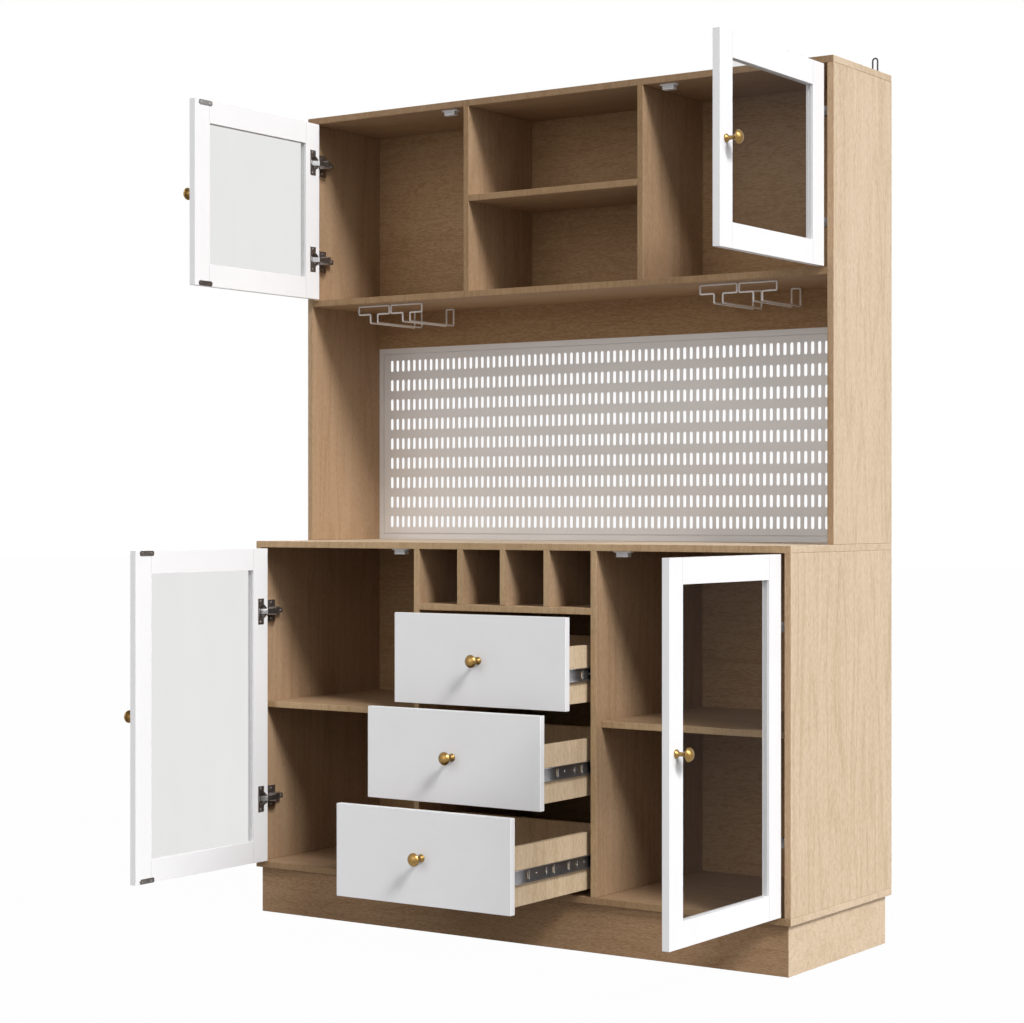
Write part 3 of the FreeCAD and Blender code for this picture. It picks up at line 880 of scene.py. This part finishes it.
def slide_runners(drawer):
    node = drawer + "_runners"
    low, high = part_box(node)
    lip = high.x
    web = lip - runner_rise
    made = bmesh.new()
    screws = bmesh.new()
    for sign in SIDES.values():
        runner_strip(made, sign * web, sign * lip, low, high)
        for place in runner_screws:
            spot = Vector((sign * (web + runner_sheet), low.y + place * MM, (low.z + high.z) / 2))
            placed = Matrix.Translation(spot) @ turned_plate(Vector((sign, 0, 0)))
            screw(screws, placed, runner_screw_radius)
    bmesh.ops.remove_doubles(made, verts=made.verts, dist=MERGE_REACH)
    strip = piece(drawer + "_slide_strips", made, "slide", drawer, "slide_steel", node)
    fold = strip.modifiers.new("sheet", "SOLIDIFY")
    fold.thickness = runner_sheet
    fold.offset = -1
    piece(drawer + "_slide_screws", screws, "nickel", drawer, "bright_nickel")


# Materials and edges of the CAD nodes that stay
board_edge = 1.1 * MM
front_edge = 1.1 * MM
frame_edge = 0.6 * MM
bracket_edge = 0.6 * MM
arm_edge = 0.5 * MM
link_edge = 0.4 * MM
cup_edge = 0.3 * MM
sheet_edge = 0.25 * MM
cage_edge = 0.1 * MM
BOARDS = {
    "side": ("base_sides", "hutch_sides"),
    "base_upright": ("base_dividers", "bottle_cubby_boards"),
    "hutch_upright": ("hutch_dividers",),
    "back": ("base_back_panel", "hutch_back_panel"),
    "base_level": ("base_shelves",),
    "hutch_level": ("base_bottom_panel", "hutch_floor_panel", "hutch_middle_shelf"),
    "counter": ("counter_top",),
    "top": ("hutch_top_panel",),
    "plinth": ("plinth_frame",),
}
for look, boards in BOARDS.items():
    for node in boards:
        dress(node, look, board_edge)
for node in ("hinge_arms", "hinge_plates"):
    dress(node, "gunmetal", arm_edge)
dress("slide_rails", "slide", sheet_edge)
dress("wall_brackets", "black", bracket_edge)
for door, sign in DOORS.items():
    dress(door + "_frame", "white", frame_edge)
    glazing(door)
    seam_shade_lines(door)
    dress(door + "_hinge_cups", "gunmetal", cup_edge)
    dress(door + "_hinge_links", "link", link_edge)
    knob(door + "_knob", door + "_door", (sign, 0, 0))
    strike_plates(door, sign)
    hinge_screws(door, sign)
for drawer in DRAWERS:
    dress(drawer + "_front", "white", front_edge)
    dress(drawer + "_box", "drawer", board_edge)
    dress(drawer + "_ball_cages", "cage", cage_edge)
    knob(drawer + "_knob", drawer, (0, -1, 0))
    slide_runners(drawer)
slotted_panel()
glass_racks()
magnetic_catches()


# Studio: white surroundings, a key light from the upper right and broad soft lights round the cabinet.
# Each light has its level, its width in degrees and the direction it comes from.
fill_level = 0.04
LIGHTS = {
    "key": (2.85, 15, (0.69, -0.29, 0.67)),
    "side": (1.35, 40, (0.90, -0.10, 0.40)),
    "front": (1.12, 60, (0.0, -0.95, 0.30)),
    "rear": (1.2, 60, (-0.65, 0.65, 0.40)),
}
fill_tint = (0.985, 0.99, 1.0, 1.0)
plain_white = (1.0, 1.0, 1.0, 1.0)
floor_grey = (0.30, 0.30, 0.30, 1.0)
floor_reach = 30.0
floor_drop = 0.4 * MM
floor_glow = 0.985


def seen_directly(look):
    """One for rays of the camera, of gloss and of clear glass, and nothing for the light on the object."""
    rays = look.node("LightPath").outputs
    through = look.math("MAXIMUM", rays["Is Glossy Ray"], rays["Is Transmission Ray"])
    return look.math("MAXIMUM", rays["Is Camera Ray"], through)


class Surroundings(Look):
    """The same node helpers on the world's own nodes."""

    def __init__(self, world):
        world.use_nodes = True
        self.tree = world.node_tree


def surroundings():
    world = bpy.data.worlds.new("studio")
    bpy.context.scene.world = world
    look = Surroundings(world)
    fill = look.tree.nodes["Background"]
    fill.inputs["Color"].default_value = fill_tint
    fill.inputs["Strength"].default_value = fill_level
    white = look.node("Background", {"Color": plain_white, "Strength": 1.0})
    mixed = look.node("MixShader", {0: seen_directly(look), 1: fill.outputs[0], 2: white.outputs[0]})
    look.tree.links.new(mixed.outputs[0], look.tree.nodes["World Output"].inputs["Surface"])


def floor():
    made = bmesh.new()
    spots = [(x * floor_reach, y * floor_reach, -floor_drop) for x, y in CORNERS]
    made.faces.new([made.verts.new(spot) for spot in spots])
    mesh = bpy.data.meshes.new("floor")
    made.to_mesh(mesh)
    made.free()
    look = Look("floor_white", Roughness=1.0, Specular_IOR_Level=0.0, Base_Color=floor_grey)
    glow = look.node("Emission", {"Color": plain_white, "Strength": 1.0})
    share = look.math("MULTIPLY", seen_directly(look), floor_glow)
    mixed = look.node("MixShader", {0: share, 1: look.shader.outputs[0], 2: glow.outputs[0]})
    look.tree.links.new(mixed.outputs[0], look.tree.nodes["Material Output"].inputs["Surface"])
    mesh.materials.append(look.material)
    obj = bpy.data.objects.new("floor", mesh)
    bpy.context.scene.collection.objects.link(obj)


def sun(name, level, width, direction):
    data = bpy.data.lights.new(name, "SUN")
    data.energy = level
    data.angle = math.radians(width)
    lamp = bpy.data.objects.new(name, data)
    lamp.rotation_euler = Vector(direction).to_track_quat("Z", "Y").to_euler()
    bpy.context.scene.collection.objects.link(lamp)


# Camera, fitted to the edges of the cabinet in the photograph
camera_place = (2.72615, -4.17957, 0.89489)
camera_turn = math.radians(34.346)
camera_lens = 81.32
camera_sensor = 36.0
camera_reach = 100.0


def camera():
    data = bpy.data.cameras.new("camera")
    data.lens = camera_lens
    data.sensor_width = camera_sensor
    data.clip_end = camera_reach
    obj = bpy.data.objects.new("camera", data)
    obj.location = camera_place
    obj.rotation_euler = (math.pi / 2, 0, camera_turn)
    bpy.context.scene.collection.objects.link(obj)
    bpy.context.scene.camera = obj


surroundings()
floor()
for name, settings in LIGHTS.items():
    sun(name, *settings)
camera()
bpy.context.scene.view_settings.view_transform = "Standard"
